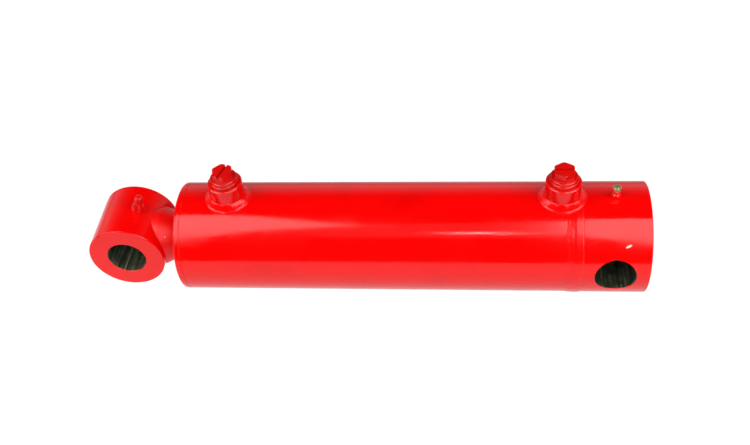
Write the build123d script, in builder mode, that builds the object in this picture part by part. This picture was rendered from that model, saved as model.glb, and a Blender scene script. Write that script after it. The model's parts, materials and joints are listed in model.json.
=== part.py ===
from build123d import *

from math import cos, radians, sin
import os

# Welded cross-tube hydraulic cylinder, drawn fully retracted, in millimetres.
# The origin is the centre of the base pin bore. X runs along the barrel and points out of the
# base end, Y is the axis of the base pin bore, and Z points up through the two ports.

os.makedirs("parts", exist_ok=True)

# Barrel, piston rod and stroke
barrel_r = 45.0
block_r = 45.2
bore_r = 38.1
rod_r = 19.05
stroke = 203.2

# Stations along X
base_end_x = 26.6
base_joint_x = -30.2
spigot_face_x = -34.0
rod_tip_x = -34.5
nut_back_x = -36.5
piston_back_x = -54.0
piston_front_x = -97.0
tube_front_x = -348.3
gland_face_x = -353.5
rod_eye_x = -400.8

# Pin bores and rod eye
pin_bore_r = 16.05
eye_r = 31.75
eye_length = 55.0
eye_edge = 1.0
edge_break = 0.6

# Fits: loose is any metal that only passes by, running is a sliding fit, snug is a fixed one
loose = 0.4
running = 0.05
snug = 0.05

# Butt weld between the tube and the base block, laid in a V groove
weld_half_width = 4.9
weld_root_half = 0.7
weld_crown = 0.5

# Ports
base_port_x = -41.3
rod_port_x = -310.4
boss_r = 14.0
boss_top_z = 62.2
boss_edge = 0.8
port_drill_r = 6.5
port_thread_r = 9.5
port_thread_depth = 14.0
port_weld_toe_r = 19.3
port_weld_leg = 4.6

# Port plugs, heights above the boss
plug_collar_r = 11.7
plug_collar_h = 3.1
plug_step_r = 10.7
plug_step_h = 5.4
plug_hex_af = 15.4
plug_hex_h = 11.5
plug_slot_w = 2.0
plug_slot_depth = 2.6
plug_stud_length = 12.0
plug_neck_r = 8.8
plug_ring_r = 0.85
plug_ring_recess = 1.9

# Gland
gland_shoulder_x = -323.0
gland_nose_x = piston_front_x - stroke - 0.3
gland_nose_r = 31.0
gland_edge = 2.0
seam_edge = 0.3
spanner_hole_r = 3.0
spanner_hole_ring_r = 34.0
spanner_hole_depth = 3.8

# Grease nipples
nipple_head_r = 3.25
base_nipple_neck_r = 2.35
eye_nipple_neck_r = 2.9
nipple_ball_r = 1.2
nipple_way_r = 1.5
nipple_seat_r = 0.7
grease_drill_r = 1.5
base_nipple_thread_r = 3.0
base_nipple_hex_af = 8.0
eye_nipple_thread_r = 4.9
eye_nipple_hex_af = 10.9
eye_nipple_tilt = 18.5
eye_nipple_y = 0.0

# Planes whose Z is the axis a piece is turned about; a height is a distance along that axis
along = Plane(origin=(0, 0, 0), x_dir=(0, 0, 1), z_dir=(1, 0, 0))
base_pin = Plane(origin=(0, 0, 0), x_dir=(1, 0, 0), z_dir=(0, 1, 0))
eye_pin = Plane(origin=(rod_eye_x, 0, 0), x_dir=(1, 0, 0), z_dir=(0, 1, 0))
base_port = Plane(origin=(base_port_x, 0, 0), x_dir=(1, 0, 0), z_dir=(0, 0, 1))
rod_port = Plane(origin=(rod_port_x, 0, 0), x_dir=(1, 0, 0), z_dir=(0, 0, 1))
base_grease = Plane(origin=(0, 0, 0), x_dir=(1, 0, 0), z_dir=(0, 0, 1))
eye_grease = Plane(
    origin=(rod_eye_x, eye_nipple_y, 0),
    x_dir=(cos(radians(eye_nipple_tilt)), 0, -sin(radians(eye_nipple_tilt))),
    z_dir=(sin(radians(eye_nipple_tilt)), 0, cos(radians(eye_nipple_tilt))),
)


def half_plane(axis_plane):
    """Plane that holds (radius, height) outlines for an axis plane."""
    return Plane(origin=axis_plane.origin, x_dir=axis_plane.x_dir, z_dir=-axis_plane.y_dir)


def turn(axis_plane, outline, mode=Mode.ADD):
    """Turn a closed (radius, height) outline about the Z of the axis plane."""
    with BuildSketch(half_plane(axis_plane)) as section:
        with BuildLine():
            Polyline(*outline, close=True)
        make_face()
    revolve(section.sketch, axis=Axis(axis_plane.origin, axis_plane.z_dir), mode=mode)


def bar(axis_plane, radius, start, end, mode=Mode.ADD):
    """Plain round bar between two heights."""
    turn(axis_plane, [(0, start), (radius, start), (radius, end), (0, end)], mode)


def ring(axis_plane, inner, outer, start, end, mode=Mode.ADD):
    """Ring of square section between two heights."""
    turn(axis_plane, [(inner, start), (outer, start), (outer, end), (inner, end)], mode)


def round_ring(axis_plane, mean_r, section_r, height):
    """Ring of round section, such as an O-ring."""
    with BuildSketch(half_plane(axis_plane)) as section:
        with Locations((mean_r, height)):
            Circle(section_r)
    revolve(section.sketch, axis=Axis(axis_plane.origin, axis_plane.z_dir))


def hexagon(axis_plane, across_flats, start, end, angle=0.0, mode=Mode.ADD):
    """Hexagonal prism between two heights."""
    with BuildSketch(axis_plane.offset(start)) as section:
        RegularPolygon(across_flats / 2, 6, major_radius=False, rotation=angle)
    extrude(section.sketch, amount=end - start, mode=mode)


def save(piece, name):
    """Label a finished sub-part and write its STEP file."""
    piece.part.label = name
    export_step(piece.part, f"parts/{name}.step")


# ---------------------------------------------------------------- barrel weldment

tube_bevel_x = base_joint_x - weld_half_width
tube_root_x = base_joint_x - weld_root_half
block_bevel_x = base_joint_x + weld_half_width
block_root_x = base_joint_x + weld_root_half

with BuildPart() as barrel_tube:
    turn(along, [
        (bore_r + 0.6, tube_front_x),
        (barrel_r - seam_edge, tube_front_x),
        (barrel_r, tube_front_x + seam_edge),
        (barrel_r, tube_bevel_x),
        (bore_r, tube_root_x),
        (bore_r, tube_front_x + 0.6),
    ])
    for port in (base_port, rod_port):
        bar(port, port_drill_r, bore_r / 2, barrel_r + 1, mode=Mode.SUBTRACT)
save(barrel_tube, "barrel_tube")

with BuildPart() as base_block:
    turn(along, [
        (0, spigot_face_x),
        (bore_r - snug - 0.8, spigot_face_x),
        (bore_r - snug, spigot_face_x + 0.8),
        (bore_r - snug, block_root_x),
        (block_r, block_bevel_x),
        (block_r, base_end_x - edge_break),
        (block_r - edge_break, base_end_x),
        (0, base_end_x),
    ])
    bar(base_pin, pin_bore_r, -block_r - 1, block_r + 1, mode=Mode.SUBTRACT)
    chamfer(base_block.edges().filter_by(GeomType.BSPLINE), edge_break)
    bar(base_grease, grease_drill_r, 0, block_r, mode=Mode.SUBTRACT)
    bar(base_grease, base_nipple_thread_r, block_r - 7, block_r + 1, mode=Mode.SUBTRACT)
save(base_block, "base_block")

with BuildPart() as base_weld:
    with BuildSketch(half_plane(along)):
        with BuildLine():
            Polyline(
                (barrel_r, tube_bevel_x),
                (bore_r, tube_root_x),
                (bore_r, block_root_x),
                (block_r, block_bevel_x),
            )
            ThreePointArc(
                (block_r, block_bevel_x),
                (block_r + weld_crown, base_joint_x),
                (barrel_r, tube_bevel_x),
            )
        make_face()
    revolve(axis=Axis.X)
    bar(base_port, port_drill_r, bore_r / 2, barrel_r + 5, mode=Mode.SUBTRACT)
save(base_weld, "base_weld")


def port_boss(port):
    """Round boss saddled onto the barrel, tapped from the top."""
    turn(port, [
        (0, bore_r),
        (boss_r, bore_r),
        (boss_r, boss_top_z - boss_edge),
        (boss_r - boss_edge, boss_top_z),
        (0, boss_top_z),
    ])
    bar(along, barrel_r, gland_face_x, base_end_x, mode=Mode.SUBTRACT)
    bar(port, port_drill_r, bore_r, boss_top_z, mode=Mode.SUBTRACT)
    bar(port, port_thread_r, boss_top_z - port_thread_depth, boss_top_z, mode=Mode.SUBTRACT)
    recess_r = plug_neck_r + 2 * plug_ring_r + 0.1
    bar(port, recess_r, boss_top_z - plug_ring_recess, boss_top_z, mode=Mode.SUBTRACT)


def port_weld(port):
    """Fillet weld round a boss, following the curve of the barrel."""
    bar(port, port_weld_toe_r, bore_r / 2, boss_top_z)
    reach = (port.origin.X - boss_top_z, port.origin.X + boss_top_z)
    bar(along, barrel_r + port_weld_leg, *reach, mode=Mode.INTERSECT)


with BuildPart() as rod_port_boss:
    port_boss(rod_port)
save(rod_port_boss, "rod_port_boss")

with BuildPart() as base_port_boss:
    port_boss(base_port)
    add(base_weld.part, mode=Mode.SUBTRACT)
save(base_port_boss, "base_port_boss")

for port, name in ((rod_port, "rod_port_weld"), (base_port, "base_port_weld")):
    with BuildPart() as weld:
        port_weld(port)
        crown = weld.edges().filter_by(GeomType.BSPLINE)
        chamfer(crown, port_weld_leg - 0.3, port_weld_toe_r - boss_r - 0.3)
        bar(port, boss_r, 0, boss_top_z + 1, mode=Mode.SUBTRACT)
        bar(along, barrel_r, gland_face_x, base_end_x, mode=Mode.SUBTRACT)
        add(base_weld.part, mode=Mode.SUBTRACT)
        add(base_block.part, mode=Mode.SUBTRACT)
    save(weld, name)

# ---------------------------------------------------------------- port plugs


def port_plug(port, slot_angle, hex_angle):
    """Hollow screw plug with a round collar, a hexagon and a screwdriver slot."""
    z0 = boss_top_z
    turn(port, [
        (0, z0 - plug_stud_length),
        (port_thread_r - snug - 0.8, z0 - plug_stud_length),
        (port_thread_r - snug, z0 - plug_stud_length + 0.8),
        (port_thread_r - snug, z0 - plug_ring_recess),
        (plug_neck_r, z0 - plug_ring_recess),
        (plug_neck_r, z0),
        (plug_collar_r - 0.4, z0),
        (plug_collar_r, z0 + 0.4),
        (plug_collar_r, z0 + plug_collar_h - 0.5),
        (plug_collar_r - 0.5, z0 + plug_collar_h),
        (plug_step_r, z0 + plug_collar_h),
        (plug_step_r, z0 + plug_step_h - 0.5),
        (plug_step_r - 0.5, z0 + plug_step_h),
        (0, z0 + plug_step_h),
    ])
    hexagon(port, plug_hex_af, z0 + plug_step_h, z0 + plug_hex_h, hex_angle)
    corner_r = plug_hex_af / 2 / cos(radians(30))
    turn(port, [
        (corner_r - 0.7, z0 + plug_hex_h),
        (corner_r + 0.5, z0 + plug_hex_h - 0.7),
        (corner_r + 0.5, z0 + plug_hex_h + 0.5),
        (corner_r - 0.7, z0 + plug_hex_h + 0.5),
    ], mode=Mode.SUBTRACT)
    with BuildSketch(port.offset(z0 + plug_hex_h - plug_slot_depth)) as slot:
        Rectangle(plug_hex_af * 1.4, plug_slot_w, rotation=slot_angle)
    extrude(slot.sketch, amount=plug_slot_depth + 1, mode=Mode.SUBTRACT)
    bar(port, port_drill_r, z0 - plug_stud_length, z0 + plug_collar_h, mode=Mode.SUBTRACT)


with BuildPart() as rod_port_plug:
    port_plug(rod_port, slot_angle=73, hex_angle=43)
save(rod_port_plug, "rod_port_plug")

with BuildPart() as base_port_plug:
    port_plug(base_port, slot_angle=0, hex_angle=90)
save(base_port_plug, "base_port_plug")

with BuildPart() as plug_o_rings:
    for port in (base_port, rod_port):
        mean_r = plug_neck_r + plug_ring_r + snug
        round_ring(port, mean_r, plug_ring_r, boss_top_z - plug_ring_recess / 2)
save(plug_o_rings, "plug_o_rings")

# ---------------------------------------------------------------- gland and its seals

wiper_groove = (24.0, gland_face_x, gland_face_x + 6.5)
rod_seal_groove = (25.0, gland_face_x + 11.0, gland_face_x + 19.5)
guide_groove = (22.0, gland_shoulder_x + 1.5, gland_nose_x - 3.5)
gland_ring_groove = (33.6, gland_face_x + 22.5, gland_face_x + 28.5)

with BuildPart() as gland:
    turn(along, [
        (rod_r + loose, gland_face_x),
        (barrel_r, gland_face_x),
        (barrel_r, tube_front_x - seam_edge),
        (barrel_r - seam_edge, tube_front_x),
        (bore_r - snug - 0.6, tube_front_x),
        (bore_r - snug - 0.6, tube_front_x + 1.6),
        (bore_r - snug, tube_front_x + 1.6),
        (bore_r - snug, gland_shoulder_x - 1.0),
        (bore_r - snug - 1.0, gland_shoulder_x),
        (gland_nose_r, gland_shoulder_x),
        (gland_nose_r, gland_nose_x - 1.0),
        (gland_nose_r - 1.0, gland_nose_x),
        (rod_r + loose, gland_nose_x),
    ])
    rim = gland.edges().filter_by(GeomType.CIRCLE).group_by(Axis.X)[0].sort_by(SortBy.RADIUS)[-1]
    fillet(rim, gland_edge)
    for groove_r, start, end in (wiper_groove, rod_seal_groove, guide_groove):
        ring(along, rod_r, groove_r, start, end, mode=Mode.SUBTRACT)
    ring(along, gland_ring_groove[0], bore_r, *gland_ring_groove[1:], mode=Mode.SUBTRACT)
    with BuildSketch(along.offset(gland_face_x)):
        with PolarLocations(spanner_hole_ring_r, 4, start_angle=45):
            Circle(spanner_hole_r)
    extrude(amount=spanner_hole_depth, mode=Mode.SUBTRACT)
save(gland, "gland")

with BuildPart() as wiper_seal:
    wiper_r, wiper_start, wiper_end = wiper_groove
    turn(along, [
        (wiper_r - snug, wiper_start),
        (wiper_r - snug, wiper_end - snug),
        (rod_r + 1.4, wiper_end - snug),
        (rod_r + 1.4, wiper_start + 2.6),
        (rod_r + running, wiper_start + 1.0),
        (rod_r + running, wiper_start + 0.4),
        (rod_r + 0.8, wiper_start - 0.5),
        (rod_r + 1.8, wiper_start - 0.5),
        (wiper_r - 1.5, wiper_start),
    ])
save(wiper_seal, "wiper_seal")

with BuildPart() as rod_seal:
    seal_r, seal_start, seal_end = rod_seal_groove
    turn(along, [
        (rod_r + 0.5, seal_start + 0.1),
        (seal_r - snug, seal_start + 0.1),
        (seal_r - snug, seal_end - 0.1),
        (seal_r - 1.6, seal_end - 0.1),
        (seal_r - 2.6, seal_end - 3.4),
        (rod_r + 2.4, seal_end - 3.4),
        (rod_r + 1.2, seal_end - 0.1),
        (rod_r + running, seal_end - 1.0),
        (rod_r + 0.5, seal_end - 3.4),
    ])
save(rod_seal, "rod_seal")

with BuildPart() as rod_guide_ring:
    guide_r, guide_start, guide_end = guide_groove
    ring(along, rod_r + running, guide_r - snug, guide_start + 0.1, guide_end - 0.1)
    with BuildSketch(Plane.XZ.offset(-rod_r - 2)) as split:
        with Locations(((guide_start + guide_end) / 2, 0)):
            Rectangle(2 * (guide_end - guide_start), 1.2, rotation=30)
    extrude(split.sketch, amount=12, both=True, mode=Mode.SUBTRACT)
save(rod_guide_ring, "rod_guide_ring")

with BuildPart() as gland_o_ring:
    section_r = (bore_r - gland_ring_groove[0]) / 2 - snug
    mean_r = (bore_r + gland_ring_groove[0]) / 2
    round_ring(along, mean_r, section_r, gland_ring_groove[2] - section_r - 0.1)
save(gland_o_ring, "gland_o_ring")

with BuildPart() as gland_backup_ring:
    start = gland_ring_groove[1] + 0.1
    ring(along, gland_ring_groove[0] + snug, bore_r - snug, start, start + 1.3)
save(gland_backup_ring, "gland_backup_ring")

# ---------------------------------------------------------------- piston rod and rod eye

spigot_r = 12.7

with BuildPart() as rod:
    turn(along, [
        (0, rod_eye_x),
        (rod_r, rod_eye_x),
        (rod_r, piston_front_x - 1.0),
        (rod_r - 1.0, piston_front_x),
        (spigot_r, piston_front_x),
        (spigot_r, rod_tip_x - 1.2),
        (spigot_r - 1.2, rod_tip_x),
        (0, rod_tip_x),
    ])
    bar(eye_pin, eye_r, -eye_length, eye_length, mode=Mode.SUBTRACT)
save(rod, "rod")

with BuildPart() as rod_eye:
    turn(eye_pin, [
        (pin_bore_r + edge_break, -eye_length / 2),
        (eye_r, -eye_length / 2),
        (eye_r, eye_length / 2),
        (pin_bore_r + edge_break, eye_length / 2),
        (pin_bore_r, eye_length / 2 - edge_break),
        (pin_bore_r, -eye_length / 2 + edge_break),
    ])
    fillet(rod_eye.edges().filter_by(GeomType.CIRCLE).sort_by(SortBy.RADIUS)[-2:], eye_edge)
    bar(eye_grease, grease_drill_r, 0, eye_r, mode=Mode.SUBTRACT)
    bar(eye_grease, eye_nipple_thread_r, eye_r - 8, eye_r + 1, mode=Mode.SUBTRACT)
save(rod_eye, "rod_eye")

with BuildPart() as rod_eye_weld:
    with BuildSketch(half_plane(along)):
        with BuildLine():
            Spline(
                (rod_r, rod_eye_x + eye_r + 9.4),
                (rod_r + 2.4, rod_eye_x + eye_r + 2.4),
                (rod_r + 5.0, rod_eye_x + eye_r - 3.5),
            )
            Polyline(
                (rod_r + 5.0, rod_eye_x + eye_r - 3.5),
                (rod_r + 6.4, rod_eye_x + eye_r - 15.0),
                (rod_r, rod_eye_x + eye_r - 15.0),
                (rod_r, rod_eye_x + eye_r + 9.4),
            )
        make_face()
    revolve(axis=Axis.X)
    bar(eye_pin, eye_r, -eye_length, eye_length, mode=Mode.SUBTRACT)
save(rod_eye_weld, "rod_eye_weld")

# ---------------------------------------------------------------- piston

seal_groove = (33.4, -79.8, -71.2)
wear_grooves = ((35.4, -92.5, -86.0), (35.4, -65.0, -58.5))
piston_r = bore_r - loose

with BuildPart() as piston:
    turn(along, [
        (spigot_r + snug, piston_front_x),
        (piston_r - 1.2, piston_front_x),
        (piston_r, piston_front_x + 1.2),
        (piston_r, piston_back_x - 1.2),
        (piston_r - 1.2, piston_back_x),
        (spigot_r + snug, piston_back_x),
    ])
    for groove_r, start, end in (seal_groove, *wear_grooves):
        ring(along, groove_r, bore_r, start, end, mode=Mode.SUBTRACT)
    ring(along, spigot_r, spigot_r + 2.3, -74.0, -70.5, mode=Mode.SUBTRACT)
save(piston, "piston")

with BuildPart() as piston_o_ring:
    round_ring(along, spigot_r + 1.15, 1.1, -72.25)
save(piston_o_ring, "piston_o_ring")

with BuildPart() as piston_nut:
    hexagon(along, 38.1, piston_back_x, nut_back_x - 4.0, 30)
    bar(along, 17.5, nut_back_x - 4.0, nut_back_x)
    bar(along, spigot_r + snug, piston_back_x - 1, nut_back_x + 1, mode=Mode.SUBTRACT)
save(piston_nut, "piston_nut")

with BuildPart() as piston_seal:
    ring(along, seal_groove[0] + 2.9, bore_r - running, seal_groove[1] + 0.1, seal_groove[2] - 0.1)
save(piston_seal, "piston_seal")

with BuildPart() as piston_energizer:
    ring_start, ring_end = seal_groove[1] + 0.6, seal_groove[2] - 0.6
    ring(along, seal_groove[0] + running, seal_groove[0] + 2.85, ring_start, ring_end)
    round_edges = piston_energizer.edges().filter_by(GeomType.CIRCLE)
    fillet(round_edges, 1.0)
save(piston_energizer, "piston_energizer")

with BuildPart() as piston_wear_rings:
    for groove_r, start, end in wear_grooves:
        ring(along, groove_r + running, bore_r - running, start + 0.1, end - 0.1)
        with BuildSketch(Plane.XZ.offset(-groove_r - 1)) as split:
            with Locations(((start + end) / 2, 0)):
                Rectangle(2 * (end - start), 1.2, rotation=30)
        extrude(split.sketch, amount=8, both=True, mode=Mode.SUBTRACT)
save(piston_wear_rings, "piston_wear_rings")

# ---------------------------------------------------------------- grease nipples


def nipple_body(seat, surface, hex_af, hex_h, thread_r, stud, neck_r, neck_top, tip):
    """Grease nipple: threaded stud, hexagon, waisted neck and rounded head, bored right through."""
    hexagon(seat, hex_af, surface, surface + hex_h)
    turn(seat, [
        (0, surface - stud),
        (thread_r - snug, surface - stud),
        (thread_r - snug, surface),
        (hex_af / 2, surface),
        (hex_af / 2, surface + hex_h),
        (nipple_head_r + 0.2, surface + hex_h),
        (neck_r, surface + hex_h + 1.4),
        (neck_r, surface + neck_top),
        (nipple_head_r, surface + neck_top + 0.9),
        (nipple_head_r, surface + tip - 1.6),
        (nipple_head_r - 0.7, surface + tip - 0.5),
        (nipple_head_r - 1.9, surface + tip),
        (0, surface + tip),
    ])
    ball_z = surface + tip - 1.9
    bar(seat, nipple_way_r, surface - stud, ball_z, mode=Mode.SUBTRACT)
    turn(seat, [
        (0, ball_z),
        (nipple_way_r, ball_z),
        (nipple_seat_r, surface + tip - 0.9),
        (nipple_seat_r, surface + tip),
        (0, surface + tip),
    ], mode=Mode.SUBTRACT)


def nipple_ball(seat, surface, tip):
    """Check ball just under its conical seat."""
    with BuildSketch(half_plane(seat)) as section:
        with Locations((0, surface + tip - 2.3)):
            Circle(nipple_ball_r)
            Rectangle(4, 4, align=(Align.MAX, Align.CENTER), mode=Mode.SUBTRACT)
    revolve(section.sketch, axis=Axis(seat.origin, seat.z_dir))


def nipple_spring(seat, surface, tip, bottom):
    """Coil spring that holds the check ball up against its seat."""
    top = surface + tip - 2.3 - nipple_ball_r - 0.25
    coil_r = nipple_way_r - 0.4
    foot = seat.offset(bottom).origin
    with BuildLine() as coil:
        Helix(1.0, top - bottom, coil_r, center=foot, direction=seat.z_dir)
    with BuildSketch(Plane(origin=coil.line @ 0, z_dir=coil.line % 0)) as wire:
        Circle(0.2)
    sweep(wire.sketch, path=coil.line)


base_nipple = dict(hex_h=2.6, neck_top=6.4, tip=11.3, stud=5.5)
eye_nipple = dict(hex_h=5.6, neck_top=10.4, tip=16.0, stud=7.0)

with BuildPart() as base_grease_nipple:
    nipple_body(
        base_grease, block_r, base_nipple_hex_af,
        thread_r=base_nipple_thread_r, neck_r=base_nipple_neck_r, **base_nipple,
    )
save(base_grease_nipple, "base_grease_nipple")

with BuildPart() as eye_grease_nipple:
    nipple_body(
        eye_grease, eye_r, eye_nipple_hex_af,
        thread_r=eye_nipple_thread_r, neck_r=eye_nipple_neck_r, **eye_nipple,
    )
save(eye_grease_nipple, "eye_grease_nipple")

with BuildPart() as base_nipple_ball:
    nipple_ball(base_grease, block_r, base_nipple["tip"])
save(base_nipple_ball, "base_nipple_ball")

with BuildPart() as eye_nipple_ball:
    nipple_ball(eye_grease, eye_r, eye_nipple["tip"])
save(eye_nipple_ball, "eye_nipple_ball")

with BuildPart() as base_nipple_spring:
    nipple_spring(base_grease, block_r, base_nipple["tip"], block_r + 1.0)
save(base_nipple_spring, "base_nipple_spring")

with BuildPart() as eye_nipple_spring:
    nipple_spring(eye_grease, eye_r, eye_nipple["tip"], eye_r + 1.0)
save(eye_nipple_spring, "eye_nipple_spring")
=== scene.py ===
import json
from math import cos, pi, radians, sin, sqrt

import bpy
from mathutils import Matrix, Vector, noise

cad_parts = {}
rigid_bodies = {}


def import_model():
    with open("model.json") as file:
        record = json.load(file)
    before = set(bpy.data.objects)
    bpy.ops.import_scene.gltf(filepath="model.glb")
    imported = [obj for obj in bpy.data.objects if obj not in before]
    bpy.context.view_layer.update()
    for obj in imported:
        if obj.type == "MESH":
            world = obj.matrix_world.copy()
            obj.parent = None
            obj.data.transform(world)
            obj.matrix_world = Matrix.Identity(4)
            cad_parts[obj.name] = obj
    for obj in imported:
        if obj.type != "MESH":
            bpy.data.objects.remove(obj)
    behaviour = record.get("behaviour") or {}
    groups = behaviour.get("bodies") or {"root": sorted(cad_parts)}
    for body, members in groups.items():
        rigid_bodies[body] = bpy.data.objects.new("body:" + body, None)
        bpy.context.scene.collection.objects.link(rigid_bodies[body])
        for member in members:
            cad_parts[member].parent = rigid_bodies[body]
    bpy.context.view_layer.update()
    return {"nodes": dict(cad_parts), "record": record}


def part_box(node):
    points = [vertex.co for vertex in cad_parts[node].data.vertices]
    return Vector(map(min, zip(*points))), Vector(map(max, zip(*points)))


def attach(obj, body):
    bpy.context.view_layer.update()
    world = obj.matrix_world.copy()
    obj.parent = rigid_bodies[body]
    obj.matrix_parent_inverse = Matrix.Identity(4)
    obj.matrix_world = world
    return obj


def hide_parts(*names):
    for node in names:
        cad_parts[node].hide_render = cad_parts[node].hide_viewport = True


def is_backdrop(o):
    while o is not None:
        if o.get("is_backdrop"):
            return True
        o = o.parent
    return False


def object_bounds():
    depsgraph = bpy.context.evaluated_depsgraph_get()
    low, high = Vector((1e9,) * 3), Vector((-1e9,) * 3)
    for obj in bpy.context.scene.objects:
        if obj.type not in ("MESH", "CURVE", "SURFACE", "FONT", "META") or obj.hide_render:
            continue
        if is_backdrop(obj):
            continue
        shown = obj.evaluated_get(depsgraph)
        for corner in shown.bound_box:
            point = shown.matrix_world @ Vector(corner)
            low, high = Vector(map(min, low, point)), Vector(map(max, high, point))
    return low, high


# Hydraulic cylinder with a welded barrel. Metres, in the row frame: X along the barrel towards
# its base, Y along the base pin bore, Z up through the ports.

for leftover in list(bpy.data.objects):
    bpy.data.objects.remove(leftover)

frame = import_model()
nodes = frame["nodes"]


# ---------------------------------------------------------------- sizes read from the frame

def centre(node):
    """Middle of a node's box."""
    low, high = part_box(node)
    return (low + high) / 2


def span(node, axis):
    """Low and high end of a node's box along one axis."""
    low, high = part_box(node)
    return low[axis], high[axis]


barrel_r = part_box("barrel_tube")[1].y
block_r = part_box("base_block")[1].z
pin_bore_r = frame["record"]["mounts"][0]["dims"]["r_mm"] / 1000
eye = Vector(frame["record"]["mounts"][1]["pos_m"])
eye_r = (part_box("rod_eye")[1].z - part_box("rod_eye")[0].z) / 2
rod_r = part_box("rod")[1].y
gland_face_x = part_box("gland")[0].x
tube_front_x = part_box("barrel_tube")[0].x
weld_low_x, weld_high_x = span("base_weld", 0)
tube_run_width = 0.0042
tube_side_x = weld_low_x - tube_run_width
ports = {"rod": centre("rod_port_boss").x, "base": centre("base_port_boss").x}
boss_r = (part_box("rod_port_boss")[1].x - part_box("rod_port_boss")[0].x) / 2
nipple_paint_z = block_r + 0.0058
to_ball = centre("eye_nipple_ball") - eye
nipple_axis = Vector((to_ball.x, 0, to_ball.z)).normalized()


# ---------------------------------------------------------------- camera

camera = bpy.data.objects.new("camera", bpy.data.cameras.new("camera"))
bpy.context.scene.collection.objects.link(camera)
camera.data.lens = 44.78
camera.data.sensor_width = 36.0
camera.data.clip_start = 0.01
heading, tilt, bank = radians(8.39), radians(44.9), radians(-5.85)
camera.matrix_world = (
    Matrix.Translation((-0.1124, -0.5387, 0.5619))
    @ Matrix.Rotation(heading, 4, "Z")
    @ Matrix.Rotation(tilt, 4, "X")
    @ Matrix.Rotation(bank, 4, "Z")
)
bpy.context.scene.camera = camera
bpy.context.scene.view_settings.view_transform = "Standard"


# ---------------------------------------------------------------- shader building

class NodeTree:
    """Short calls that add and join the nodes of one node tree."""

    def __init__(self, tree):
        self.tree = tree

    def add(self, kind, links=None, **settings):
        made = self.tree.nodes.new(kind)
        for key, value in settings.items():
            setattr(made, key, value)
        for key, value in (links or {}).items():
            self.feed(made.inputs[key], value)
        return made

    def feed(self, socket, value):
        if isinstance(value, bpy.types.NodeSocket):
            self.tree.links.new(value, socket)
        else:
            socket.default_value = value

    def math(self, operation, *values, clamp=False):
        made = self.add("ShaderNodeMath", operation=operation, use_clamp=clamp)
        for socket, value in zip(made.inputs, values):
            self.feed(socket, value)
        return made.outputs[0]

    def vector(self, operation, *values):
        made = self.add("ShaderNodeVectorMath", operation=operation)
        for socket, value in zip(made.inputs, values):
            self.feed(socket, value)
        scalar = operation in ("LENGTH", "DISTANCE", "DOT_PRODUCT")
        return made.outputs["Value" if scalar else "Vector"]

    def split(self, vector, axis):
        return self.add("ShaderNodeSeparateXYZ", {"Vector": vector}).outputs[axis]

    def ramp(self, value, low, high, start=0.0, end=1.0):
        """Smooth step from start to end as the value goes from low to high."""
        made = self.add(
            "ShaderNodeMapRange",
            {"Value": value, "From Min": low, "From Max": high, "To Min": start, "To Max": end},
        )
        made.interpolation_type = "SMOOTHSTEP"
        return made.outputs["Result"]

    def blend(self, factor, first, second):
        made = self.add("ShaderNodeMix", data_type="RGBA")
        self.feed(made.inputs["Factor"], factor)
        self.feed(made.inputs["A"], first)
        self.feed(made.inputs["B"], second)
        return made.outputs["Result"]

    def mix(self, factor, first, second):
        made = self.add("ShaderNodeMix", data_type="FLOAT")
        for socket, value in zip(made.inputs[0:1] + made.inputs[2:4], (factor, first, second)):
            self.feed(socket, value)
        return made.outputs["Result"]


class Shader(NodeTree):
    """A material with one Principled shader; place is the rest position in metres."""

    def __init__(self, name):
        self.material = bpy.data.materials.new(name)
        self.material.use_nodes = True
        super().__init__(self.material.node_tree)
        self.bsdf = next(n for n in self.tree.nodes if n.type == "BSDF_PRINCIPLED")
        self.place = self.add("ShaderNodeTexCoord").outputs["Object"]

    def set(self, **values):
        for key, value in values.items():
            self.feed(self.bsdf.inputs[key.replace("_", " ")], value)

    def noise(self, scale, detail=3.0, place=None):
        made = self.add(
            "ShaderNodeTexNoise",
            {"Vector": place or self.place, "Scale": scale, "Detail": detail, "Roughness": 0.55},
        )
        return made.outputs["Fac"]

    def bump(self, height, distance, strength=1.0, normal=None):
        links = {"Height": height, "Distance": distance, "Strength": strength}
        if normal:
            links["Normal"] = normal
        return self.add("ShaderNodeBump", links).outputs["Normal"]

    def radius_from(self, axis_point, keep):
        """Distance from the line through axis_point; keep zeroes the axis's own coordinate."""
        offset = self.vector("SUBTRACT", self.place, tuple(axis_point))
        return self.vector("LENGTH", self.vector("MULTIPLY", offset, keep))


RED = (0.96, 0.001, 0.001, 1.0)
DEEP_RED = (0.87, 0.0005, 0.0005, 1.0)
# The next three reds are painted shade: the port bosses, plugs and the eye's grease nipple carry the
# barrel's enamel, drawn darker for the shade on their steep walls.
SHADED_BOSS_RED = (0.86, 0.002, 0.002, 1.0)
SHADED_PART_RED = (0.74, 0.004, 0.003, 1.0)
SHADED_PART_DEEP = (0.56, 0.002, 0.002, 1.0)
STEEL = (0.27, 0.30, 0.19, 1.0)
DARK_STEEL = (0.020, 0.025, 0.014, 1.0)
SEAM_HIGHLIGHT = (0.55, 0.60, 0.42, 1.0)
PRIMER = (0.86, 0.72, 0.55, 1.0)


def inside_x(s, radius):
    """1 within this radius of the barrel's axis."""
    return s.ramp(s.radius_from((0, 0, 0), (0.0, 1.0, 1.0)), radius + 0.0002, radius - 0.0002)


def inside_port(s, port_x, radius):
    """1 within this radius of a port's axis."""
    return s.ramp(s.radius_from((port_x, 0, 0), (1.0, 1.0, 0.0)), radius + 0.0002, radius - 0.0002)


def pin_bore(s, axis_point):
    """1 inside a pin bore, with a slightly ragged edge to the paint."""
    away = s.radius_from(axis_point, (1.0, 0.0, 1.0))
    ragged = s.math("ADD", away, s.math("MULTIPLY", s.noise(500.0, 3.0), 0.0003))
    return s.ramp(ragged, pin_bore_r + 0.00045, pin_bore_r + 0.00025)


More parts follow.
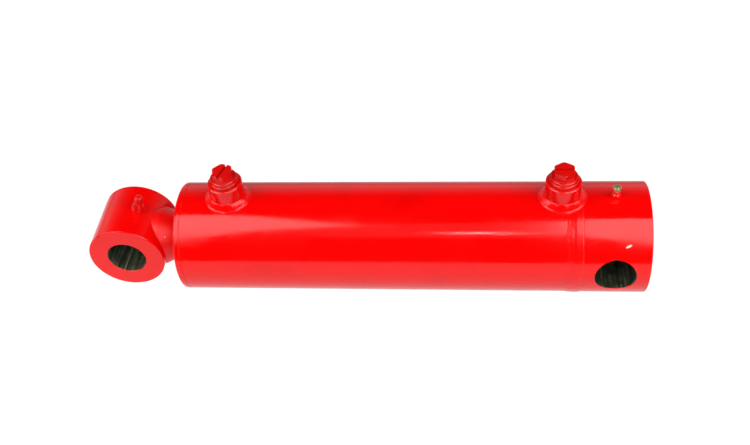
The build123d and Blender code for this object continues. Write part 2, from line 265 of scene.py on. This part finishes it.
def spot(s, where, along, length, width):
    """1 inside a ragged oval patch round a point, longest in the direction along."""
    offset = s.vector("SUBTRACT", s.place, tuple(where))
    direction = Vector(along).normalized()
    parallel = s.vector("DOT_PRODUCT", offset, tuple(direction))
    beside = s.math("POWER", s.math("DIVIDE", parallel, length / 2), 2.0)
    far = s.math("POWER", s.math("DIVIDE", s.vector("LENGTH", offset), width / 2), 2.0)
    squeezed = s.math("SUBTRACT", far, s.math("POWER", s.math("DIVIDE", parallel, width / 2), 2.0))
    oval = s.math("ADD", beside, squeezed)
    edge = s.math("ADD", oval, s.math("SUBTRACT", s.noise(900.0, 3.0), 0.5))
    return s.ramp(edge, 1.15, 0.85)


def enamel(name, bare=None, bore=None, seam=0.0, chips_and_glints=(), tones=(RED, DEEP_RED), peel=1.0, dull=0.0):
    """Gloss red enamel with orange peel and dust.

    The metal is unpainted where bare(shader) is 1, or in the pin bore round the point bore, whose light and
    dark streaks along its axis are painted highlights, and whose seam is a pale painted highlight line on
    the lower wall this far along X from its axis. Chip patches, given as (place, direction, length, width,
    colour), are real paint chips and nicks, and painted glints. Peel scales the orange peel, and dull is
    added to the roughness.
    """
    s = Shader(name)
    cloud = s.noise(34.0, 5.0)
    fine = s.noise(900.0, 2.0)
    colour = s.blend(s.ramp(cloud, 0.45, 0.75), *tones)
    colour = s.blend(s.ramp(fine, 0.68, 0.80, 0.0, 0.4), colour, tones[1])
    gloss = s.ramp(cloud, 0.35, 0.65, 0.085 + dull, 0.16 + dull)
    rough = s.math("ADD", gloss, s.ramp(fine, 0.4, 0.8, 0.0, 0.05))
    peel_height = s.math("ADD", s.noise(420.0, 2.0), s.math("MULTIPLY", s.noise(110.0, 2.0), 2.0))
    normal = s.bump(peel_height, 0.00003 * peel, 0.8)
    # The patches are real paint chips and nicks, and painted highlights (glints on the rod eye weld).
    for where, along, length, width, tone in chips_and_glints:
        mask = spot(s, where, along, length, width)
        colour = s.blend(mask, colour, tone)
        rough = s.mix(mask, rough, 0.6)
    if bare or bore:
        mask = pin_bore(s, bore) if bore else bare(s)
        # In a pin bore the light and dark steel run along the bore's axis as painted highlight streaks;
        # elsewhere they vary along X as turning rings round the barrel.
        stretch = (420.0, 25.0, 420.0) if bore else (2600.0, 60.0, 60.0)
        turning = s.add("ShaderNodeMapping", {"Vector": s.place, "Scale": stretch})
        rings_and_highlight_streaks = s.noise(1.0, 4.0, place=turning.outputs[0])
        oil = s.ramp(s.noise(70.0, 4.0), 0.36, 0.62)
        turned_steel_and_highlights = s.blend(s.ramp(rings_and_highlight_streaks, 0.3, 0.7), DARK_STEEL, STEEL)
        steel = s.blend(s.math("MULTIPLY", oil, 0.6 if seam else 0.9), turned_steel_and_highlights, DARK_STEEL)
        # The eye bore's seam is drawn as a pale painted highlight line on the lower wall.
        if seam:
            across = s.math("ABSOLUTE", s.math("SUBTRACT", s.split(s.place, "X"), bore[0] + seam))
            below = s.ramp(s.split(s.place, "Z"), 0.0, -0.004)
            line = s.math("MULTIPLY", s.ramp(across, 0.0006, 0.0001, 0.0, 0.6), below)
            steel = s.blend(line, steel, SEAM_HIGHLIGHT)
        colour = s.blend(mask, colour, steel)
        rough = s.mix(mask, rough, s.ramp(oil, 0.0, 1.0, 0.26, 0.42))
        normal = s.bump(s.math("MULTIPLY", rings_and_highlight_streaks, mask), 0.00003, 0.8, normal)
        s.set(Metallic=s.math("MULTIPLY", mask, 0.55))
    s.set(Base_Color=colour, Roughness=rough, Normal=normal, IOR=1.45)
    return s.material


def metal(name, light, dark, rough, stretch, streak=1.0, painted=None, metallic=1.0):
    """Machined or plated metal with marks along its turning; painted masks red overspray."""
    s = Shader(name)
    turning = s.add("ShaderNodeMapping", {"Vector": s.place, "Scale": stretch})
    marks = s.noise(1.0, 4.0, place=turning.outputs[0])
    cloud = s.noise(55.0, 4.0)
    shade = s.math("MULTIPLY", s.ramp(marks, 0.3, 0.7), streak)
    worn = s.math("MULTIPLY", s.math("ADD", shade, s.ramp(cloud, 0.35, 0.7)), 0.5)
    colour = s.blend(worn, light, dark)
    roughness = s.ramp(cloud, 0.3, 0.7, rough[0], rough[1])
    height = s.math("ADD", marks, s.noise(700.0, 2.0))
    if painted:
        mask = painted(s)
        colour = s.blend(mask, colour, RED)
        roughness = s.mix(mask, roughness, s.ramp(cloud, 0.3, 0.7, 0.10, 0.18))
        metallic = s.math("MULTIPLY", s.math("SUBTRACT", 1.0, mask), metallic)
    s.set(Base_Color=colour, Roughness=roughness, Metallic=metallic, Normal=s.bump(height, 0.00002, 0.7))
    return s.material


def polymer(name, light, dark, rough):
    """Rubber, nylon or PTFE with a moulded grain, flow clouds and a little handling dust."""
    s = Shader(name)
    cloud = s.noise(80.0, 4.0)
    colour = s.blend(s.ramp(cloud, 0.3, 0.7), dark, light)
    roughness = s.ramp(s.noise(240.0, 3.0), 0.3, 0.7, rough[0], rough[1])
    s.set(Base_Color=colour, Roughness=roughness, Normal=s.bump(s.noise(600.0, 3.0), 0.00004, 0.6))
    return s.material


def assign(node, material):
    """Put one material in every slot of a CAD node."""
    slots = nodes[node].data.materials
    if not slots:
        slots.append(material)
    for index in range(len(slots)):
        slots[index] = material


chip_angle = radians(53.9)
chip = (0.0082, -block_r * sin(chip_angle), block_r * cos(chip_angle))
nick = (-0.001, -sqrt(block_r ** 2 - pin_bore_r ** 2), pin_bore_r + 0.0006)
block_chips = [
    (chip, (0.90, 0.25, 0.36), 0.0050, 0.0017, PRIMER),
    (nick, (1, 0, 0), 0.0036, 0.0022, DARK_STEEL),
]

paint = enamel("red_enamel")
for node in ("base_weld", "rod_port_weld", "base_port_weld", "rod_eye_weld"):
    assign(node, paint)
assign("barrel_tube", enamel("red_enamel_tube", bare=lambda s: inside_x(s, block_r - 0.002)))
assign("gland", enamel("red_enamel_gland", bare=lambda s: s.ramp(
    s.split(s.place, "X"), tube_front_x - 0.0002, tube_front_x)))
assign("base_block", enamel("red_enamel_base", bore=(0, 0, 0), chips_and_glints=block_chips))
assign("rod_eye", enamel("red_enamel_eye", bore=tuple(eye), seam=-0.0058))
# Painted shade: the eye's grease nipple is drawn in darker reds.
assign("eye_grease_nipple", enamel("red_enamel_nipple", tones=(SHADED_PART_RED, SHADED_PART_DEEP), peel=2.0))
# Painted shade: the bosses and plugs are drawn in darker reds than the barrel.
for end, port_x in ports.items():
    assign(end + "_port_boss", enamel(
        "red_enamel_boss_" + end, bare=lambda s, x=port_x: inside_port(s, x, boss_r - 0.003),
        tones=(SHADED_BOSS_RED, SHADED_PART_RED)))
    assign(end + "_port_plug", enamel("red_plug_" + end, tones=(SHADED_PART_RED, SHADED_PART_DEEP), peel=1.6))

assign("rod", metal(
    "hard_chrome", (0.80, 0.81, 0.83, 1), (0.62, 0.63, 0.66, 1), (0.05, 0.11), (2400.0, 50.0, 50.0), 0.5,
    painted=lambda s: s.ramp(s.split(s.place, "X"), gland_face_x + 0.0003, gland_face_x - 0.0008)))
assign("piston", metal(
    "machined_iron", (0.30, 0.30, 0.31, 1), (0.14, 0.14, 0.15, 1), (0.30, 0.45), (1800.0, 60.0, 60.0)))
assign("piston_nut", metal(
    "zinc_nut", (0.66, 0.64, 0.50, 1), (0.42, 0.42, 0.34, 1), (0.25, 0.40), (300.0, 300.0, 300.0)))
assign("base_grease_nipple", metal(
    "zinc_nipple", (0.66, 0.63, 0.33, 1), (0.26, 0.25, 0.11, 1), (0.22, 0.36), (300.0, 300.0, 1500.0), 1.0,
    painted=lambda s: s.ramp(s.split(s.place, "Z"), nipple_paint_z + 0.0003, nipple_paint_z - 0.0005),
    metallic=0.7))
for node in ("base_nipple_ball", "eye_nipple_ball", "base_nipple_spring", "eye_nipple_spring"):
    assign(node, metal(
        "bright_" + node, (0.72, 0.73, 0.74, 1), (0.50, 0.50, 0.52, 1), (0.10, 0.20), (900.0, 900.0, 900.0)))
rubber = polymer("nitrile", (0.030, 0.030, 0.032, 1), (0.012, 0.012, 0.013, 1), (0.42, 0.60))
for node in ("plug_o_rings", "gland_o_ring", "rod_seal", "piston_o_ring", "piston_energizer"):
    assign(node, rubber)
assign("wiper_seal", polymer(
    "wiper_urethane", (0.05, 0.05, 0.055, 1), (0.02, 0.02, 0.022, 1), (0.35, 0.55)))
assign("rod_guide_ring", polymer(
    "filled_nylon", (0.10, 0.12, 0.11, 1), (0.05, 0.065, 0.06, 1), (0.40, 0.55)))
assign("piston_wear_rings", polymer(
    "wear_nylon", (0.12, 0.13, 0.12, 1), (0.06, 0.07, 0.06, 1), (0.40, 0.55)))
assign("gland_backup_ring", polymer(
    "ptfe_backup", (0.84, 0.83, 0.79, 1), (0.72, 0.71, 0.66, 1), (0.28, 0.40)))
assign("piston_seal", polymer(
    "ptfe_seal", (0.80, 0.80, 0.77, 1), (0.66, 0.66, 0.62, 1), (0.25, 0.38)))


# ---------------------------------------------------------------- weld beads

def lumps(point, scale, seed):
    """Smooth seeded noise from -1 to 1 along a bead."""
    return noise.noise(Vector(point) * scale + Vector((seed, seed * 1.7, seed * 0.3)))


def band(name, body, around, across, place, replaced, material):
    """Closed band of quads; place(turn, t) gives the point at an angle and a fraction across."""
    points = [place(2 * pi * i / around, j / across) for i in range(around) for j in range(across + 1)]
    wide = across + 1
    faces = [
        (i * wide + j, (i + 1) % around * wide + j, (i + 1) % around * wide + j + 1, i * wide + j + 1)
        for i in range(around) for j in range(across)
    ]
    mesh = bpy.data.meshes.new(name)
    mesh.from_pydata(points, [], faces)
    mesh.shade_smooth()
    piece = bpy.data.objects.new(name, mesh)
    bpy.context.scene.collection.objects.link(piece)
    mesh.materials.append(material)
    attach(piece, body)
    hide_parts(replaced)


bead_paint = enamel("red_enamel_bead", peel=1.5, dull=0.06)
# Painted shade: the painted-over eye grease nipple is drawn in darker reds.
nipple_paint = enamel("red_enamel_nipple_filled", tones=(SHADED_PART_RED, SHADED_PART_DEEP), peel=1.0)
# Painted highlights: five near-white spots on the rod eye weld stand in for glints off its ripples.
GLINT_WHITE = (0.95, 0.93, 0.90, 1.0)
glint_angle = radians(49)
glint_r = 0.0218
painted_glints = [
    ((eye.x + 0.0286 + 0.0026 * k, -glint_r * sin(glint_angle), glint_r * cos(glint_angle)),
     (1, 0, 0), 0.0010, 0.0007, GLINT_WHITE)
    for k in range(5)
]
glinting_paint = enamel("red_enamel_painted_glints", peel=1.5, chips_and_glints=painted_glints, dull=0.22)
ripple = 0.0027
tube_run_share = 0.45
upper_run_share = 0.70


def butt_bead(turn, t):
    """Butt weld: a flat strip on the block side and a lower, uneven run on the tube side."""
    x = tube_side_x + (weld_high_x - tube_side_x) * t
    arc = turn * block_r
    if t < tube_run_share:
        rise = t / tube_run_share
        height = 0.00016 * rise + 0.00022 * rise * lumps((x, arc, 0), 330.0, 3.0)
    else:
        rise = (t - tube_run_share) / (1 - tube_run_share)
        wave = 0.00002 * sin(2 * pi * (arc / ripple + 0.5 * rise ** 2))
        height = 0.00016 + 0.00026 * min(rise / 0.2, (1 - rise) / 0.08, 1.0) + wave * sin(pi * rise)
    height += 0.00008 * lumps((x, arc, 1.0), 140.0, 5.0)
    if t in (0.0, 1.0):
        height = -0.0002
    wander = 0.0007 * lumps((arc, 0, 0), 120.0, 8.0) if t < tube_run_share else 0.0
    base = barrel_r if x < weld_low_x else block_r
    return (x + wander, (base + height) * sin(turn), (base + height) * cos(turn))


def port_bead(port_x, seed):
    """Fillet weld round a boss: a wide upper run and a thin run at its toe."""
    def place(turn, t):
        sideways = sin(turn) ** 2
        toe = 0.0194 * (1 - sideways) + 0.0175 * sideways
        toe += 0.0004 * lumps((cos(turn), sin(turn), 0), 3.0, seed)
        drop = sqrt(barrel_r ** 2 - (toe * sin(turn)) ** 2)
        top = barrel_r + 0.0045 + 0.0004 * lumps((cos(turn), sin(turn), 1), 2.5, seed)
        out, up = boss_r + (toe - boss_r) * t, top + (drop - top) * t
        slope = Vector((top - drop, toe - boss_r)).normalized()
        arc = turn * 0.017
        if t < upper_run_share:
            rise = t / upper_run_share
            wave = 0.00003 * sin(2 * pi * (arc / ripple + 0.6 * rise ** 2))
            bulge = (0.0002 + wave) * sin(pi * rise)
        else:
            rise = (t - upper_run_share) / (1 - upper_run_share)
            bulge = 0.0004 * sin(pi * rise)
        bulge += 0.00015 * lumps((2 * cos(turn), 2 * sin(turn), t), 2.0, seed + 4) * sin(pi * t)
        if t == 1.0:
            bulge -= 0.0003
        if t == 0.0:
            out -= 0.0003
        out, up = out + slope.x * bulge, up + slope.y * bulge
        return (port_x + out * cos(turn), out * sin(turn), up)
    return place


sweep_start = eye.x + eye_r + 0.0094


def sweep_r(x):
    """Radius of the weld's hollow sweep at a place along the rod."""
    return rod_r + 0.0053 * min((sweep_start - x) / 0.0129, 1.0) ** 1.15


def eye_bead(turn, t):
    """Fillet between rod and eye: a hollow sweep off the rod that swells again at its toe."""
    end = eye.x + eye_r * 0.8
    for _ in range(6):
        end = eye.x + sqrt(eye_r ** 2 - (sweep_r(end) * cos(turn)) ** 2)
    x = sweep_start + (end - sweep_start) * t
    radius = sweep_r(x)
    radius += 0.0001 * sin(pi * max(t - 0.55, 0) / 0.45)
    radius += 0.00005 * lumps((cos(turn), sin(turn), t), 1.8, 11.0) * sin(pi * t)
    if t in (0.0, 1.0):
        radius -= 0.0003
        x -= 0.0004 * t
    return (x, radius * sin(turn), radius * cos(turn))


# (radius, height) in millimetres: skirt, hexagon, waisted neck, rounded head, mouth
nipple_outline = [
    (5.1, -0.8), (5.5, 0.4), (5.5, 1.6), (5.2, 2.8), (4.8, 3.4), (4.7, 4.8),
    (4.4, 6.2), (3.9, 7.4), (3.5, 8.6), (3.4, 9.8), (3.5, 10.9), (3.55, 12.6),
    (3.4, 14.0), (2.8, 15.2), (1.8, 15.9), (0.9, 16.0), (0.65, 15.4), (0.02, 15.2),
]
hexagon_top = 5.5


def painted_nipple(turn, t):
    """Outline of the eye's grease nipple with its corners filled by paint."""
    at = t * (len(nipple_outline) - 1)
    index = min(int(at), len(nipple_outline) - 2)
    (r0, h0), (r1, h1) = nipple_outline[index], nipple_outline[index + 1]
    radius, height = r0 + (r1 - r0) * (at - index), h0 + (h1 - h0) * (at - index)
    if height < hexagon_top:
        radius *= 1 + 0.03 * cos(6 * turn)
    across = Vector((nipple_axis.z, 0, -nipple_axis.x))
    point = Vector((eye.x, 0, 0)) + nipple_axis * (eye_r + height / 1000)
    return tuple(point + (across * cos(turn) + Vector((0, 1, 0)) * sin(turn)) * radius / 1000)


band("base_weld_bead", "barrel", 420, 22, butt_bead, "base_weld", bead_paint)
for seed, (end, port_x) in enumerate(ports.items()):
    bead = port_bead(port_x, 2.0 + seed)
    band(end + "_port_weld_bead", "barrel", 240, 20, bead, end + "_port_weld", bead_paint)
band("rod_eye_weld_bead", "rod", 200, 24, eye_bead, "rod_eye_weld", glinting_paint)
band("eye_nipple_painted", "rod", 48, 51, painted_nipple, "eye_grease_nipple", nipple_paint)


# ---------------------------------------------------------------- studio

def panel(name, corners, strength, height=1.2):
    """Flat glowing softbox overhead, unseen by the camera; corners are (x, y)."""
    mesh = bpy.data.meshes.new(name)
    mesh.from_pydata([(x, y, height) for x, y in corners], [], [tuple(range(len(corners)))])
    softbox = bpy.data.objects.new(name, mesh)
    bpy.context.scene.collection.objects.link(softbox)
    glow = bpy.data.materials.new(name)
    glow.use_nodes = True
    tree = glow.node_tree
    tree.nodes.clear()
    emission = tree.nodes.new("ShaderNodeEmission")
    emission.inputs["Strength"].default_value = strength
    output = tree.nodes.new("ShaderNodeOutputMaterial")
    tree.links.new(emission.outputs[0], output.inputs["Surface"])
    mesh.materials.append(glow)
    softbox.visible_camera = False
    softbox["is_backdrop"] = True


panel("softbox_left", [(-1.9, -0.6), (-0.66, -0.02), (-0.57, -0.06), (-0.36, -0.52), (-0.60, -0.80),
                       (-1.9, -3.6)], 3.3)
panel("softbox_right", [(0.05, -0.36), (0.14, -0.19), (1.9, 0.1), (1.9, -6.0), (0.15, -1.12),
                        (0.08, -0.9)], 3.3)
panel("softbox_middle", [(-0.5, -0.6), (0.1, -0.3), (0.12, -1.4), (-0.55, -1.45)], 0.28, 1.3)

# A small bright lamp, with a row of ever smaller glints off each of its ends.
lamp_x = -0.09
lamp_y = -0.945
lamp_z = 1.19


def lamp_panel(name, x, half_x, half_y, strength):
    corners = [(-half_x, -half_y), (half_x, -half_y), (half_x, half_y), (-half_x, half_y)]
    panel(name, [(x + dx, lamp_y + dy) for dx, dy in corners], strength, lamp_z)


lamp_panel("lamp", lamp_x, 0.035, 0.015, 70.0)
for step in range(6):
    for away in (-0.045 - 0.013 * step, 0.045 + 0.013 * step):
        glint = 0.004 - 0.0004 * step
        lamp_panel("lamp_glint", lamp_x + away, glint, glint, 60.0)


def fill(name, direction, energy):
    """Large soft light from the side that the barrel doesn't mirror toward the front."""
    toward = Vector(direction).normalized()
    lamp = bpy.data.lights.new(name, "AREA")
    lamp.shape = "DISK"
    lamp.size = 1.1
    lamp.energy = energy
    holder = bpy.data.objects.new(name, lamp)
    bpy.context.scene.collection.objects.link(holder)
    holder.rotation_mode = "QUATERNION"
    holder.rotation_quaternion = toward.to_track_quat("Z", "Y")
    holder.location = Vector((-0.17, 0.0, 0.0)) + toward * 1.7


fill("fill_left", (-1.0, -0.25, 0.62), 8.0)
fill("fill_right", (1.0, -0.25, 0.62), 4.0)

# The floor shows white to the camera, but glows less than that for reflections and bounced light.
floor_mesh = bpy.data.meshes.new("floor")
floor_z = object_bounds()[0].z
floor_mesh.from_pydata(
    [(-4, -0.32, floor_z), (4, -0.32, floor_z), (4, 4, floor_z), (-4, 4, floor_z)],
    [], [(0, 1, 2, 3)],
)
floor = bpy.data.objects.new("floor", floor_mesh)
bpy.context.scene.collection.objects.link(floor)
pale = Shader("pale_floor")
glow = pale.ramp(pale.split(pale.place, "Y"), 0.0, 0.35, 0.78, 0.26)
seen = pale.add("ShaderNodeLightPath").outputs["Is Camera Ray"]
pale.set(Base_Color=(0.05, 0.05, 0.05, 1), Roughness=0.9, Emission_Color=(1, 1, 1, 1))
pale.set(Emission_Strength=pale.mix(seen, glow, 1.0))
floor_mesh.materials.append(pale.material)
floor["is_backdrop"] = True

# The room shows white to the camera too; mirrored, it is bright only low down at the back.
world = bpy.data.worlds.new("studio")
bpy.context.scene.world = world
world.use_nodes = True
sky = NodeTree(world.node_tree)
outward = sky.add("ShaderNodeTexCoord").outputs["Generated"]
path = sky.add("ShaderNodeLightPath")
height, side = sky.split(outward, "Z"), sky.split(outward, "Y")
behind = sky.ramp(side, 0.0, 0.5, 0.03, 1.0)
mirrored = sky.math("MULTIPLY", sky.ramp(height, 0.75, 0.0, 0.012, 0.55), behind)
level = sky.math("MAXIMUM", mirrored, path.outputs["Is Camera Ray"])
background = world.node_tree.nodes["Background"]
background.inputs["Color"].default_value = (1, 1, 1, 1)
sky.feed(background.inputs["Strength"], level)
